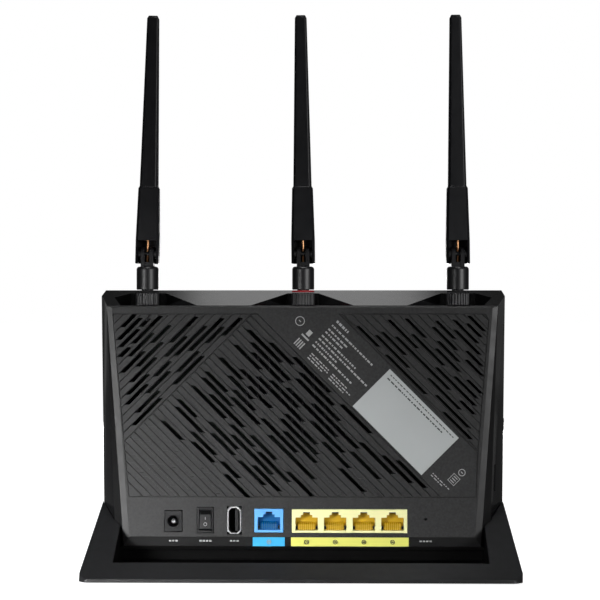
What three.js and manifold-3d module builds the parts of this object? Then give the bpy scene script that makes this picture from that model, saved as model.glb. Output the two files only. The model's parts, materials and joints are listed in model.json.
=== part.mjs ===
// Upright desktop wireless router with three folding antennas, on a wedge-shaped stand.
// Millimetres, +Z up. The back of the router, which carries the sockets, faces -Y.
// The origin is the middle of the footprint, on the surface the router stands on.
import * as THREE from 'three';
import { ConvexGeometry } from 'three/addons/geometries/ConvexGeometry.js';
import { mergeVertices } from 'three/addons/utils/BufferGeometryUtils.js';
import Module from 'manifold-3d';

const wasm = await Module();
wasm.setup();

// ---- driving dimensions -------------------------------------------------------------
const GAP = 0.3;                 // clearance between neighbouring pieces
const WALL = 2.2;                // wall of both body shells
const BACK_Y = -4;               // flat rear face
const TOP_FRONT = { y: 34, z: 146.9 };
const TOP_SLOPE = 0.234;         // rise of the top face per mm towards the front
const BODY_BOTTOM = 10.8;

const STAND = {
  rearY: -48, frontY: 48, rearHalf: 111.5, frontHalf: 104,
  bottom: 0.8, lip: 2.5, slope: 0.471,
  wingEndY: 19.5, wingEndHalf: 106.4, plinthTop: BODY_BOTTOM - 0.4, wall: 2,
};
const NOTCH = { half: 95, rearY: -34, frontY: 8, floor: 4.8 };

const ANTENNA = {
  names: ['left', 'middle', 'right'],
  x: [-81.8, 0.4, 81.8],
  lean: [1.4, -0.6, -0.6],       // resting sideways lean in degrees, towards +X at the tip
  y: 10, pivotZ: 166, tipZ: 291.5,
};
const POCKET_FLOOR = 138.7;
const NUT = { radius: 6.2, bore: 3.4, bottom: 139.0, top: 145.3, flutes: 20 };
const SIDES = 28;                // facets of the larger round pieces

const BOARD = { y: 13.6, thick: 1.6, half: 86, bottom: 15, top: 128 };
const JACK_FRONT = -4.5;         // face of the sockets, just proud of the rear face
const JACK_DEPTH_END = BOARD.y - GAP;
const boardFront = BOARD.y + BOARD.thick + GAP;

const DC = { x: -67, z: 26.5, wide: 9.1, high: 10.9, bore: 3.1, pin: 1.0 };
const POWER = { x: -50.3, z: 27, wide: 8.3, high: 13.2, pivotY: -2, tilt: 8 };
const USB = { x: -35.2, z: 26.9, wide: 7.3, high: 14.3 };
const WAN = { x: -17.2, z: 26.8, wide: 15.1, high: 12.3 };
const LAN = { x: 24.75, z: 26.6, wide: 60, high: 12.2, pitch: 14.9 };
const RESET = { x: 64.3, z: 27.8, hole: 0.8, plunger: 1.2 };
const WPS = { y: 28, z: 75, radius: 3.4, wallX: 106.4 };
const SIM = { y: 10, z: 48, high: 14, wide: 2.2 };
const LABEL = { x: 53.9, z: 78.2, long: 50.6, wide: 27.4, turn: 45, thick: 0.15 };
const BAND = { top: 18.2, bottom: 13.4, thick: 0.25 };

// Vent slots in the flat rear face. The rows of a region run at 45 degrees: down to the right, or
// up to the right where it rises. Each slot is a start and an end along its row, and each row is
// named by its number. First is the middle of row 0, measured across the rows from the origin.
const SLIT = 1.3;
const VENTS = [
  { first: 0.7, pitch: 3.425, rises: false, rows: {
    1: [[-107, -93]],
    2: [[-88, -73], [-64, -47]],
    3: [[-92, -75], [-70, -58]],
    4: [[-107, -88]],
    5: [[-109, -96], [-84, -68], [-64, -46]],
    6: [[-89, -69], [-57, -38]],
    7: [[-76, -47]],
    8: [[-109, -85], [-80, -64], [-60, -38]],
    9: [[-99, -75], [-69, -51], [-42, -24]],
    10: [[-108, -87]],
    11: [[-109, -94], [-90, -70], [-62, -30]],
    12: [[-92, -77], [-71, -46]],
    13: [[-99, -82], [-58, -35]],
    14: [[-109, -93], [-88, -72], [-64, -38]],
    15: [[-97, -79], [-64, -42], [-24, -7]],
    16: [[-88, -55], [-40, -21]],
    17: [[-108, -90], [-82, -62], [-52, -29]],
    18: [[-99, -77], [-73, -37], [-26, -6]],
    19: [[-103, -75], [-58, -25]],
    20: [[-109, -85], [-73, -42], [-26, -3]],
    21: [[-96, -80], [-74, -50], [-13, 7]],
    22: [[-82, -56], [-47, -26], [-6, 14]],
  } },
  { first: 1.4, pitch: 3.36, rises: true, rows: {
    '-47': [[24, 33]],
    '-46': [[18, 34]],
    '-45': [[16, 29], [31, 37]],
    '-44': [[12, 19], [22, 42]],
    '-43': [[16, 33]],
    '-42': [[7, 23], [29, 42]],
    '-41': [[15, 33]],
    '-40': [[7, 25], [36, 55]],
    '-39': [[1, 16], [29, 44]],
    '-38': [[-3, 12], [18, 29], [33, 55]],
    '-37': [[9, 25], [40, 64]],
    '-36': [[-2, 14], [28, 43], [49, 61]],
    '-35': [[-8, 12], [22, 43], [58, 71]],
  } },
  { first: 1.5, pitch: 3.425, rises: false, rows: {
    32: [[-70, -55], [-49, -20], [-7, 13]],
    33: [[-60, -36], [-16, 8]],
    34: [[-59, -42], [-25, -2]],
    35: [[-52, -13], [-5, 5]],
    36: [[-61, -40], [-26, 2]],
    37: [[-47, -24], [-16, 0]],
    38: [[-55, -41], [-33, -16], [-10, 0]],
    39: [[-35, -20]],
    40: [[-42, -25], [-18, -6]],
    41: [[-43, -30], [-21, -10]],
    42: [[-33, -15]],
    43: [[-37, -20]],
    44: [[-31, -21]],
    45: [[-33, -22]],
  } },
];

// ---- finishes -----------------------------------------------------------------------
const FINISH = {
  shell: [0x1d1e20, 0.55, 0],
  stand: [0x141517, 0.6, 0],
  antenna: [0x121315, 0.5, 0],
  rubber: [0x17181a, 0.9, 0],
  redRing: [0xa3161c, 0.5, 0],
  socketBlack: [0x0d0e10, 0.45, 0],
  wanBlue: [0x2f7fd0, 0.45, 0],
  lanYellow: [0xf0e65a, 0.45, 0],
  steel: [0xb9bcc0, 0.35, 1],
  gold: [0xc9a24a, 0.35, 1],
  copper: [0xb5652f, 0.4, 1],
  board: [0x17472d, 0.6, 0],
  aluminium: [0x9ea2a6, 0.45, 1],
  label: [0xa6aaaa, 0.7, 0],
  clear: [0xdfe6ea, 0.25, 0],
};

// ---- geometry helpers ---------------------------------------------------------------
const radians = THREE.MathUtils.degToRad;

function signedVolume(geometry) {
  const p = geometry.attributes.position;
  const index = geometry.index;
  const [a, b, c] = [new THREE.Vector3(), new THREE.Vector3(), new THREE.Vector3()];
  let volume = 0;
  for (let i = 0; i < index.count; i += 3) {
    a.fromBufferAttribute(p, index.getX(i));
    b.fromBufferAttribute(p, index.getX(i + 1));
    c.fromBufferAttribute(p, index.getX(i + 2));
    volume += a.dot(b.cross(c)) / 6;
  }
  return volume;
}

// Skin through sections with equal numbers of corners, closed by an end face each.
// The faces always point out, whichever way round the corners are given.
function loft(sections) {
  const n = sections[0].length;
  const last = (sections.length - 1) * n;
  const index = [];
  for (let s = 0; s < last; s += n) {
    for (let c = 0; c < n; c++) {
      const a = s + c;
      const b = s + ((c + 1) % n);
      index.push(a, b, b + n, a, b + n, a + n);
    }
  }
  for (let c = 1; c + 1 < n; c++) {
    index.push(0, c + 1, c, last, last + c, last + c + 1);
  }
  const geometry = new THREE.BufferGeometry();
  geometry.setAttribute('position', new THREE.Float32BufferAttribute(sections.flat(2), 3));
  geometry.setIndex(index);
  if (signedVolume(geometry) < 0) {
    geometry.setIndex(index.toReversed());
  }
  return geometry;
}

function box(x0, x1, y0, y1, z0, z1) {
  const geometry = new THREE.BoxGeometry(x1 - x0, y1 - y0, z1 - z0);
  return geometry.translate((x0 + x1) / 2, (y0 + y1) / 2, (z0 + z1) / 2);
}

// A box given by its middle in X and Z, as the sockets on the rear face are.
function faceBox({ x, z, wide, high }, y0, y1, grow = 0) {
  const halfWide = wide / 2 + grow;
  const halfHigh = high / 2 + grow;
  return box(x - halfWide, x + halfWide, y0, y1, z - halfHigh, z + halfHigh);
}

function hull(points) {
  return new ConvexGeometry(points.map((p) => new THREE.Vector3(...p)));
}

function cylinderZ(radius, x, y, z0, z1, sides = SIDES) {
  const geometry = new THREE.CylinderGeometry(radius, radius, z1 - z0, sides);
  return geometry.rotateX(Math.PI / 2).translate(x, y, (z0 + z1) / 2);
}

function cylinderX(radius, x0, x1, y, z, sides = SIDES) {
  const geometry = new THREE.CylinderGeometry(radius, radius, x1 - x0, sides);
  return geometry.rotateZ(Math.PI / 2).translate((x0 + x1) / 2, y, z);
}

function cylinderY(radius, x, y0, y1, z, sides = SIDES) {
  const geometry = new THREE.CylinderGeometry(radius, radius, y1 - y0, sides);
  return geometry.translate(x, (y0 + y1) / 2, z);
}

// Turned piece about Z. The profile is radius and height, starting and ending on the axis.
function turned(profile, x, y, sides = SIDES) {
  const points = profile.map(([radius, z]) => new THREE.Vector2(radius, z));
  return new THREE.LatheGeometry(points, sides).rotateX(Math.PI / 2).translate(x, y, 0);
}

// Outline in X and Z given thickness along Y.
function plateXZ(outline, y0, y1) {
  const shape = new THREE.Shape(outline.map(([x, z]) => new THREE.Vector2(x, z)));
  const geometry = new THREE.ExtrudeGeometry(shape, { depth: y1 - y0, bevelEnabled: false });
  return geometry.rotateX(Math.PI / 2).translate(0, y1, 0);
}

// Outline in Y and Z given thickness along X.
function plateYZ(outline, x0, x1) {
  const at = (x) => outline.map(([y, z]) => [x, y, z]);
  return loft([at(x0), at(x1)]);
}

function solid(geometry) {
  const bare = geometry.clone();
  bare.deleteAttribute('normal');
  bare.deleteAttribute('uv');
  const merged = mergeVertices(bare, 1e-4);
  return new wasm.Manifold(new wasm.Mesh({
    numProp: 3,
    vertProperties: merged.attributes.position.array,
    triVerts: Uint32Array.from(merged.index.array),
  }));
}

function fromSolid(manifold) {
  const mesh = manifold.getMesh();
  const geometry = new THREE.BufferGeometry();
  geometry.setAttribute('position', new THREE.BufferAttribute(mesh.vertProperties, 3));
  geometry.setIndex(new THREE.BufferAttribute(mesh.triVerts, 1));
  return geometry;
}

function join(...geometries) {
  return fromSolid(geometries.map(solid).reduce((a, b) => a.add(b)));
}

function cut(base, ...tools) {
  return fromSolid(tools.map(solid).reduce((a, b) => a.subtract(b), solid(base)));
}

const router = new THREE.Group();

function add(name, geometry, finish, parent = router) {
  const [color, roughness, metalness] = FINISH[finish];
  const material = new THREE.MeshStandardMaterial({ color, roughness, metalness });
  const mesh = new THREE.Mesh(geometry, material);
  mesh.name = name;
  parent.add(mesh);
  return mesh;
}

// ---- body envelope ------------------------------------------------------------------
const topAt = (y) => TOP_FRONT.z - TOP_SLOPE * (TOP_FRONT.y - y);

// One section of the body: [half width, y] at its top corners and at its bottom corners.
// A positive grow moves every corner out, a negative one makes the inside of a wall.
function section(top, bottom, grow, zTop = topAt(top[1]), zBottom = BODY_BOTTOM) {
  const [topHalf, topY] = top;
  const [bottomHalf, bottomY] = bottom;
  return [
    [topHalf + grow, topY, zTop + grow],
    [-topHalf - grow, topY, zTop + grow],
    [-bottomHalf - grow, bottomY, zBottom - grow],
    [bottomHalf + grow, bottomY, zBottom - grow],
  ];
}

const rearFace = (grow, y = BACK_Y) => section([99, y], [90, y], grow, 137.6, 18.4);
const rearRidge = (grow, dy = 0) => section([101.8, -3.2 + dy], [93, -3 + dy], grow, 138.2, 13.4);
const parting = (grow, dy = 0) => section([102, -1 + dy], [98, 4 + dy], grow);
const widest = (grow) => section([107.5, 21], [105.9, 21], grow);
const frontEdge = (grow, dy = 0) => section([106.8, 34 + dy], [105.2, 46 + dy], grow);
const frontFace = (grow, dy = 0) => section([98, 37 + dy], [98, 47.6 + dy], grow, 138.5, 20);

function bodyEnvelope(grow) {
  const back = rearFace(grow, BACK_Y - grow);
  return loft([back, rearRidge(grow, -grow), parting(grow), widest(grow), frontEdge(grow),
    frontFace(grow)]);
}

// Level recess in the sloping top around one antenna socket, with leaning side walls.
function pocket(floor, rim, grow = 0) {
  const at = (corners, z) => corners.map(([x, y]) => [x, y, z]);
  return loft([at(floor, POCKET_FLOOR - grow), at(rim, POCKET_FLOOR + 8)]);
}

function grownCorners(corners, grow) {
  const middle = corners.reduce((sum, [x]) => sum + x, 0) / corners.length;
  return corners.map(([x, y]) => [x + Math.sign(x - middle) * grow, y > 0 ? y + grow : y]);
}

function pockets(grow = 0) {
  const outerFloor = [[49.2, -8], [93.3, -8], [98.2, 15.6], [91.9, 22], [72.8, 22]];
  const outerRim = [[45.9, -8], [96.4, -8], [101.8, 17.9], [92.35, 27.5], [73.8, 27.5]];
  const middleFloor = [[-32.6, -8], [32.6, -8], [9, 22], [-9, 22]];
  const middleRim = [[-35.9, -8], [35.9, -8], [8, 27.5], [-8, 27.5]];
  const mirrored = (corners) => corners.map(([x, y]) => [-x, y]);
  const pairs = [[outerFloor, outerRim], [mirrored(outerFloor), mirrored(outerRim)],
    [middleFloor, middleRim]];
  return pairs.map(([floor, rim]) => pocket(grownCorners(floor, grow),
    grownCorners(rim, grow), grow));
}

// ---- rear cover ---------------------------------------------------------------------
function ventSlot({ first, pitch, rises }, row, start, end) {
  const across = first + pitch * row;
  const corner = (along, side) => {
    const slant = along + side * SLIT / 2;           // ends are cut level with the ground
    const offset = across + side * SLIT / 2;
    const [x, z] = rises ? [slant + offset, slant - offset] : [offset + slant, offset - slant];
    return [x / Math.SQRT2, z / Math.SQRT2];
  };
  return plateXZ([corner(start, -1), corner(end, -1), corner(end, 1), corner(start, 1)],
    BACK_Y - 1, BACK_Y + WALL + 1);
}

function rearCover() {
  const shell = loft([rearFace(0), rearRidge(0), parting(0, -GAP / 2)]);
  const inside = loft([rearFace(-WALL, BACK_Y + WALL - 0.2), parting(-WALL, 6)]);
  const through = [BACK_Y - 2, BACK_Y + WALL + 4];
  const windows = [DC, USB, WAN, LAN].map((place) => faceBox(place, ...through, GAP));
  const slots = VENTS.flatMap((region) => Object.entries(region.rows).flatMap(
    ([row, ends]) => ends.map(([start, end]) => ventSlot(region, Number(row), start, end))));
  return cut(shell, inside, ...windows, faceBox(POWER, ...through, GAP),
    cylinderY(RESET.hole, RESET.x, ...through, RESET.z, 12), ...slots);
}

// ---- front shell --------------------------------------------------------------------
const LED_BAR = { half: 34, bottom: 118, high: 3, y0: 33, y1: 40.2 };

function frontShell() {
  const outer = loft([parting(0, GAP / 2), widest(0), frontEdge(0), frontFace(0)]);
  const inner = loft([parting(-WALL, -3), widest(-WALL), frontEdge(-WALL, -1),
    frontFace(-WALL, -WALL)]);
  const room = cut(inner, ...pockets(WALL));
  const connectorHoles = ANTENNA.x.map(
    (x) => cylinderZ(3.4, x, ANTENNA.y, POCKET_FLOOR - 4, POCKET_FLOOR + 1));
  const screwHoles = SCREWS.map(([x, y]) => cylinderZ(1.9, x, y, 9, 14, 16));
  const simSlot = box(96, 110, SIM.y - SIM.wide / 2, SIM.y + SIM.wide / 2,
    SIM.z - SIM.high / 2, SIM.z + SIM.high / 2);
  const buttonHole = cylinderX(WPS.radius + GAP, 100, 110, WPS.y, WPS.z);
  const ledWindow = box(-LED_BAR.half - GAP, LED_BAR.half + GAP, LED_BAR.y0, 44,
    LED_BAR.bottom - GAP, LED_BAR.bottom + LED_BAR.high + GAP);
  return cut(outer, room, ...pockets(), ...connectorHoles, ...screwHoles, simSlot,
    buttonHole, ledWindow);
}

// ---- stand --------------------------------------------------------------------------
const SCREWS = [[-60, 28], [60, 28]];
const rampAt = (y) => STAND.lip + STAND.slope * (y - STAND.rearY);

// The ramp that spreads out behind the body, with its two rear corners cut off.
function standWedge(inset, bottom) {
  const cornerCut = 4;
  const rear = STAND.rearY + inset * 2;
  const half = (y) => THREE.MathUtils.mapLinear(y, STAND.rearY, STAND.wingEndY,
    STAND.rearHalf, STAND.wingEndHalf) - inset;
  const outline = [[half(rear) - cornerCut, rear], [half(rear + cornerCut), rear + cornerCut],
    [half(STAND.wingEndY), STAND.wingEndY]];
  const points = outline.flatMap(([x, y]) => [bottom, rampAt(y) - inset].flatMap(
    (z) => [[x, y, z], [-x, y, z]]));
  return hull(points);
}

function plinth(inset, bottom) {
  const y0 = STAND.wingEndY - 2;
  const half = STAND.wingEndHalf - inset;
  const frontHalf = STAND.frontHalf - inset;
  const front = STAND.frontY - inset;
  const at = (z) => [[half, y0, z], [frontHalf, front, z], [-frontHalf, front, z], [-half, y0, z]];
  return loft([at(bottom), at(STAND.plinthTop - inset)]);
}

function notch(grow) {
  return box(-NOTCH.half - grow, NOTCH.half + grow, NOTCH.rearY - grow, NOTCH.frontY + grow,
    NOTCH.floor - grow, 60);
}

function standBase() {
  const outer = join(standWedge(0, STAND.bottom), plinth(0, STAND.bottom));
  const w = STAND.wall;
  const inner = join(standWedge(w, -5), plinth(w, -5));
  const room = cut(inner, bodyEnvelope(0.4 + w), notch(w));
  const screwHoles = SCREWS.map(([x, y]) => cylinderZ(1.9, x, y, 5, 12, 16));
  return cut(outer, bodyEnvelope(0.4), notch(0), room, ...screwHoles);
}

const COVER_PLATE = { bottom: 1.1, top: 2.4 };

function standBottomCover() {
  const inset = STAND.wall + GAP;
  const rear = STAND.rearY + 9;
  const front = STAND.frontY - inset;
  const half = STAND.rearHalf - inset - 1;
  const at = (z) => [[half, rear, z], [STAND.wingEndHalf - inset, STAND.wingEndY, z],
    [STAND.frontHalf - inset, front, z], [-STAND.frontHalf + inset, front, z],
    [-STAND.wingEndHalf + inset, STAND.wingEndY, z], [-half, rear, z]];
  return loft([at(COVER_PLATE.bottom), at(COVER_PLATE.top)]);
}

const FEET = { rear_left: [-88, -32], rear_right: [88, -32], front_left: [-88, 38],
  front_right: [88, 38] };

function foot(x, y) {
  const shape = new THREE.Shape();
  shape.absarc(-5, 0, 4, Math.PI / 2, Math.PI * 1.5);
  shape.absarc(5, 0, 4, -Math.PI / 2, Math.PI / 2);
  const height = COVER_PLATE.bottom - 0.1;
  const geometry = new THREE.ExtrudeGeometry(shape, { depth: height, bevelEnabled: false,
    curveSegments: 8 });
  return geometry.translate(x, y, 0);
}

function standScrew(x, y) {
  const head = 4.6;
  return turned([[0, head], [3.1, head], [3.1, head + 2], [1.5, head + 2.6], [1.5, 16],
    [0, 16]], x, y, 16);
}

// ---- sockets on the rear face ---------------------------------------------------------
function dcJack() {
  return cut(faceBox(DC, JACK_FRONT, JACK_DEPTH_END),
    cylinderY(DC.bore, DC.x, JACK_FRONT - 1, JACK_FRONT + 10, DC.z));
}

function usbShell() {
  const bend = 1.6;
  const outline = (grow) => {
    const w = USB.wide / 2 + grow;
    const h = USB.high / 2 + grow;
    return [[w, h - bend], [w - bend, h], [bend - w, h], [-w, h - bend], [-w, bend - h],
      [bend - w, -h], [w - bend, -h], [w, bend - h]].map(([x, z]) => [x + USB.x, z + USB.z]);
  };
  return cut(plateXZ(outline(0), JACK_FRONT, JACK_DEPTH_END),
    plateXZ(outline(-0.6), JACK_FRONT - 1, JACK_DEPTH_END - 1));
}

// Stepped hole of one eight-pin socket, wide below and narrow above for the plug's latch.
const RJ = { half: 5.85, bottom: -4.9, shoulder: 1.9, step: 3.3, top: 4.7, depth: 14 };

function socketHole(x, z) {
  const right = [[RJ.half, RJ.bottom], [RJ.half, RJ.shoulder], [3, RJ.shoulder], [3, RJ.step],
    [1.8, RJ.step], [1.8, RJ.top]];
  const left = right.map(([dx, dz]) => [-dx, dz]).reverse();
  return plateXZ([...right, ...left].map(([dx, dz]) => [x + dx, z + dz]), JACK_FRONT - 1,
    JACK_FRONT + RJ.depth);
}

const lanPorts = [-1.5, -0.5, 0.5, 1.5].map((step) => LAN.x + step * LAN.pitch);

function socketBlock(place, ports) {
  return cut(faceBox(place, JACK_FRONT, JACK_DEPTH_END),
    ...ports.map((x) => socketHole(x, place.z)));
}

// Eight spring contacts for each socket, standing on one carrier strip behind them all.
function contactComb(place, ports) {
  const floor = place.z + RJ.bottom + 0.2;
  const back = JACK_FRONT + RJ.depth - 0.4;
  const pieces = ports.map((x) => box(x - 5, x + 5, back - 1.2, back, floor, floor + 4));
  for (const x of ports) {
    for (let pin = 0; pin < 8; pin++) {
      const middle = x + (pin - 3.5) * 1.02;
      const side = [[back - 9, floor + 0.4], [back - 9, floor], [back - 1, floor + 0.4],
        [back - 1, floor + 1.2]];
      pieces.push(plateYZ(side, middle - 0.22, middle + 0.22));
    }
  }
  return join(...pieces);
}

function switchBody() {
  const rim = { ...POWER, wide: 6.6, high: 11 };
  const room = { ...POWER, wide: 6.6, high: 11.6 };
  return cut(faceBox(POWER, JACK_FRONT, 8), faceBox(rim, JACK_FRONT - 1, -3),
    faceBox(room, -3.1, 3));
}

// Rocker drawn level about its pivot, then tipped so that its upper half is pressed in.
function powerRocker() {
  const side = [[-2.4, 4.9], [-1.7, 0], [-2.4, -4.9], [-0.6, -4.9], [2.6, -1.6], [2.6, 1.6],
    [-0.6, 4.9]];
  return plateYZ(side, -3, 3).rotateX(radians(-POWER.tilt))
    .translate(POWER.x, POWER.pivotY, POWER.z);
}

// ---- antennas -----------------------------------------------------------------------
const FORK = { inner: 4.95, outer: 6.2, bottom: 160.7, windowTop: 173, deep: 4.4, wallY: 3.7 };
const TONGUE = { half: 3.35, radius: 3.4 };
const PIN = { radius: 1.2, half: 5.9, shoulder: 2.6 };

function antennaNut(x) {
  const points = [];
  for (let i = 0; i < NUT.flutes * 2; i++) {
    const angle = (i * Math.PI) / NUT.flutes;
    const radius = NUT.radius - (i % 2) * 0.35;
    points.push([radius * Math.cos(angle), radius * Math.sin(angle)]);
  }
  const at = (z) => points.map(([dx, dy]) => [x + dx, ANTENNA.y + dy, z]);
  return cut(loft([at(NUT.bottom), at(NUT.top)]),
    cylinderZ(NUT.bore, x, ANTENNA.y, NUT.bottom - 1, NUT.top + 1, 20));
}

function smaConnector(x) {
  return turned([[0, 130.5], [2.2, 130.5], [2.2, 133.5], [5, 133.5], [5, 136.1], [3.05, 136.1],
    [3.05, 144.6], [0, 144.6]], x, ANTENNA.y, 20);
}

function sealRing(x) {
  const ring = [[3.5, 145.6], [5.95, 145.6], [5.95, 146.7], [3.5, 146.7], [3.5, 145.6]];
  return turned(ring, x, ANTENNA.y);
}

function antennaCollar(x) {
  const turnedPart = turned([[0, 145.6], [3.1, 145.6], [3.1, 147], [5.8, 147], [5.8, 157],
    [5.3, 158.4], [4.6, 159.1], [0, 159.1]], x, ANTENNA.y);
  const z = ANTENNA.pivotZ;
  const tongue = join(box(x - TONGUE.half, x + TONGUE.half, ANTENNA.y - TONGUE.radius,
    ANTENNA.y + TONGUE.radius, 158, z),
  cylinderX(TONGUE.radius, x - TONGUE.half, x + TONGUE.half, ANTENNA.y, z, 24));
  return cut(join(turnedPart, tongue),
    cylinderX(PIN.radius + GAP, x - 7, x + 7, ANTENNA.y, z, 16));
}

// The blade and what moves with it are drawn about the hinge axis, at the origin.
function blade() {
  const tip = ANTENNA.tipZ - ANTENNA.pivotZ;
  const at = (half, deep, z) => {
    const c = Math.min(half, deep) * 0.3;
    return [[half, deep - c], [half - c, deep], [c - half, deep], [-half, deep - c],
      [-half, c - deep], [c - half, -deep], [half - c, -deep], [half, c - deep]]
      .map(([x, y]) => [x, y, z]);
  };
  const bottom = FORK.bottom - ANTENNA.pivotZ;
  const windowTop = FORK.windowTop - ANTENNA.pivotZ;
  const body = loft([at(FORK.outer, FORK.deep, bottom), at(FORK.outer, FORK.deep, windowTop),
    at(5.45, 4.2, 34.6), at(4.8, 3.8, 35.4), at(3.1, 2.5, tip - 1.6), at(2.3, 1.8, tip)]);
  const window = box(-FORK.inner, FORK.inner, -6, FORK.wallY, bottom - 1, windowTop);
  const channel = box(-2, 2, -1.1, 1.1, windowTop - 1, 108);
  return cut(body, window, channel, cylinderX(PIN.radius + GAP, -7, 7, 0, 0, 16));
}

function hingePin() {
  const shoulder = [TONGUE.half + 0.35, FORK.inner - 0.35];
  return join(cylinderX(PIN.radius, -PIN.half, PIN.half, 0, 0, 16),
    cylinderX(PIN.shoulder, shoulder[0], shoulder[1], 0, 0, 16),
    cylinderX(PIN.shoulder, -shoulder[1], -shoulder[0], 0, 0, 16));
}

const coax = () => cylinderZ(0.7, 0, 0, TONGUE.radius + 0.4, 19.7, 12);
const radiator = () => box(-1.6, 1.6, -0.4, 0.4, 20, 100);

function addAntenna(index) {
  const name = `antenna_${ANTENNA.names[index]}`;
  const x = ANTENNA.x[index];
  add(`${name}_connector`, smaConnector(x), 'gold');
  add(`${name}_nut`, antennaNut(x), 'antenna');
  add(`${name}_ring`, sealRing(x), index === 1 ? 'redRing' : 'rubber');
  add(`${name}_collar`, antennaCollar(x), 'antenna');
  const hinge = new THREE.Group();
  hinge.position.set(x, ANTENNA.y, ANTENNA.pivotZ);
  hinge.rotation.y = radians(ANTENNA.lean[index]);
  router.add(hinge);
  add(`${name}_blade`, blade(), 'antenna', hinge);
  add(`${name}_hinge_pin`, hingePin(), 'steel', hinge);
  add(`${name}_coax`, coax(), 'copper', hinge);
  add(`${name}_radiator`, radiator(), 'copper', hinge);
}

// ---- boards and what they carry -------------------------------------------------------
function heatSink() {
  const base = box(-30, 30, 11.2, BOARD.y - GAP, 70, 112);
  const fins = [];
  for (let x = -29; x <= 29; x += 5.8) {
    fins.push(box(x - 0.6, x + 0.6, 4, 11.6, 70, 112));
  }
  return join(base, ...fins);
}

// Thin printed strip stuck to the sloping band under a group of sockets.
function portStrip(x0, x1) {
  const slope = 1 / 5;
  const yAt = (z) => BACK_Y + (18.4 - z) * slope - 0.35;
  const outline = [[yAt(BAND.top), BAND.top], [yAt(BAND.bottom), BAND.bottom],
    [yAt(BAND.bottom) - BAND.thick, BAND.bottom], [yAt(BAND.top) - BAND.thick, BAND.top]];
  return plateYZ(outline, x0, x1);
}

function ratingLabel() {
  const y = BACK_Y - 0.1;
  const plate = box(-LABEL.long / 2, LABEL.long / 2, y - LABEL.thick, y, -LABEL.wide / 2,
    LABEL.wide / 2);
  return plate.rotateY(radians(LABEL.turn)).translate(LABEL.x, 0, LABEL.z);
}

function wpsButton() {
  const cap = cylinderX(WPS.radius, 103.6, WPS.wallX + 1, WPS.y, WPS.z, 24);
  const flange = cylinderX(WPS.radius + 1.2, 102.4, 103.6, WPS.y, WPS.z, 24);
  return join(cap, flange);
}

// Side switch on a short bracket that stands on the front of the main board.
function wpsSwitch() {
  const bracket = box(78, 84, boardFront, WPS.y + 3, WPS.z - 3, WPS.z + 3);
  return join(bracket, box(83, 101, WPS.y - 3, WPS.y + 3, WPS.z - 3, WPS.z + 3));
}

// ---- assembly -----------------------------------------------------------------------

add('rear_cover', rearCover(), 'shell');
add('front_shell', frontShell(), 'shell');
add('light_guide', box(-LED_BAR.half, LED_BAR.half, LED_BAR.y0 + 0.4, 38.4, LED_BAR.bottom,
  LED_BAR.bottom + LED_BAR.high), 'clear');
add('stand_base', standBase(), 'stand');
add('stand_bottom_cover', standBottomCover(), 'stand');
for (const [place, [x, y]] of Object.entries(FEET)) {
  add(`foot_${place}`, foot(x, y), 'rubber');
}
SCREWS.forEach(([x, y], i) => add(`stand_screw_${i + 1}`, standScrew(x, y), 'steel'));

add('main_board', box(-BOARD.half, BOARD.half, BOARD.y, BOARD.y + BOARD.thick, BOARD.bottom,
  BOARD.top), 'board');
add('modem_module', box(38, 68, boardFront, boardFront + 3.6, 70, 120), 'steel');
add('radio_shield', box(-60, 10, boardFront, boardFront + 3.2, 60, 118), 'steel');
add('heat_sink', heatSink(), 'aluminium');

add('dc_jack', dcJack(), 'socketBlack');
add('dc_jack_pin', cylinderY(DC.pin, DC.x, JACK_FRONT + 0.8, JACK_FRONT + 9.7, DC.z, 14), 'steel');
add('power_switch_body', switchBody(), 'socketBlack');
add('power_rocker', powerRocker(), 'socketBlack');
add('usb_shell', usbShell(), 'steel');
add('usb_tongue', box(USB.x + 0.4, USB.x + 2.2, JACK_FRONT + 0.8, 12, USB.z - 5.6, USB.z + 5.6),
  'socketBlack');
add('wan_jack', socketBlock(WAN, [WAN.x]), 'wanBlue');
add('wan_contacts', contactComb(WAN, [WAN.x]), 'gold');
add('lan_jack_block', socketBlock(LAN, lanPorts), 'lanYellow');
lanPorts.forEach((x, i) => add(`lan_contacts_${i + 1}`, contactComb(LAN, [x]), 'gold'));
add('wan_port_strip', portStrip(-25.6, -8.9), 'wanBlue');
add('lan_port_strip', portStrip(-5.7, 55.5), 'lanYellow');
add('rating_label', ratingLabel(), 'label');

add('reset_button', cylinderY(RESET.plunger, RESET.x, BACK_Y + WALL + 0.4, 6, RESET.z, 16),
  'socketBlack');
add('reset_switch', box(RESET.x - 3, RESET.x + 3, 7, BOARD.y - GAP, RESET.z - 3, RESET.z + 3),
  'socketBlack');
add('wps_button', wpsButton(), 'shell');
add('wps_switch', wpsSwitch(), 'socketBlack');
add('sim_card_holder', cut(box(74, 96.2, 7, BOARD.y - GAP, SIM.z - 9, SIM.z + 9),
  box(76, 110, SIM.y - SIM.wide / 2, SIM.y + SIM.wide / 2, SIM.z - SIM.high / 2,
    SIM.z + SIM.high / 2)), 'steel');
ANTENNA.names.forEach((_, index) => addAntenna(index));

export default router;
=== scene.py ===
import json
import math
import random
from collections import Counter

import bmesh
import bpy
from mathutils import Matrix, Vector


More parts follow.
